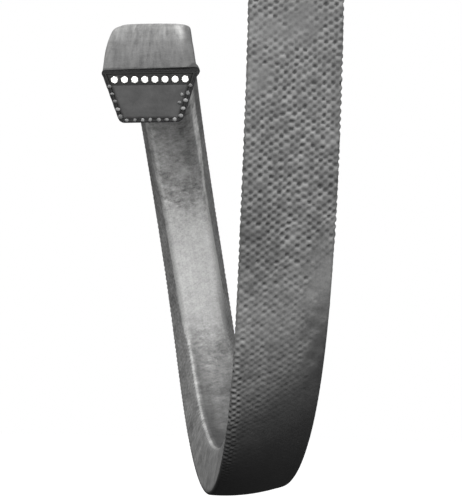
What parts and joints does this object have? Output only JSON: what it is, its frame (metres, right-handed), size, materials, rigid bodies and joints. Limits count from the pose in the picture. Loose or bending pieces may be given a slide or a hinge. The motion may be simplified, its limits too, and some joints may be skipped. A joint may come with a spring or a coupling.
{
  "type": "v belt",
  "caption": "Wrapped V belt cut open: a tapered rubber core under a bed of white cords, inside two plies of woven cover cloth, curled into a loop.",
  "frame": {"origin": "centre of the upper end face, in the middle of the belt's section", "axes": "+Z out of the upper end face, along the belt; +X across the belt's width; -Y out of the outer face of the front strand"},
  "size_m": [0.043, 0.1245, 0.1116],
  "materials": {
    "outer_ply": "matte rubbered woven cloth",
    "inner_ply": "matte rubbered woven cloth",
    "cord_gum": "matte",
    "core_rubber": "matte",
    "cord_yarn": "satin twisted yarn"
  },
  "bodies": {
    "front": {"outer_ply_front": "outer_ply", "inner_ply_front": "inner_ply", "cord_bed_front": "cord_gum", "core_front": "core_rubber", "cord_1_front": "cord_yarn", "cord_2_front": "cord_yarn", "cord_3_front": "cord_yarn", "cord_4_front": "cord_yarn", "cord_5_front": "cord_yarn", "cord_6_front": "cord_yarn", "cord_7_front": "cord_yarn", "cord_8_front": "cord_yarn"},
    "back": {"outer_ply_back": "outer_ply", "inner_ply_back": "inner_ply", "cord_bed_back": "cord_gum", "core_back": "core_rubber", "cord_1_back": "cord_yarn", "cord_2_back": "cord_yarn", "cord_3_back": "cord_yarn", "cord_4_back": "cord_yarn", "cord_5_back": "cord_yarn", "cord_6_back": "cord_yarn", "cord_7_back": "cord_yarn", "cord_8_back": "cord_yarn"},
    "end": {"outer_ply_end": "outer_ply", "inner_ply_end": "inner_ply", "cord_bed_end": "cord_gum", "core_end": "core_rubber", "cord_1_end": "cord_yarn", "cord_2_end": "cord_yarn", "cord_3_end": "cord_yarn", "cord_4_end": "cord_yarn", "cord_5_end": "cord_yarn", "cord_6_end": "cord_yarn", "cord_7_end": "cord_yarn", "cord_8_end": "cord_yarn"}
  },
  "joints": [
    {"name": "front_flex", "type": "hinge", "parent": "front", "child": "back", "pos_m": [-0.00376, 0.06384, -0.10908], "axis": [0.9906, 0.0923, 0.101], "range_deg": [-20, 8], "stiffness_Nm_per_rad": 0.8},
    {"name": "end_flex", "type": "hinge", "parent": "back", "child": "end", "pos_m": [-0.0226, 0.10001, -0.015], "axis": [0.9898, -0.0781, 0.1192], "range_deg": [-20, 8], "stiffness_Nm_per_rad": 0.8}
  ]
}
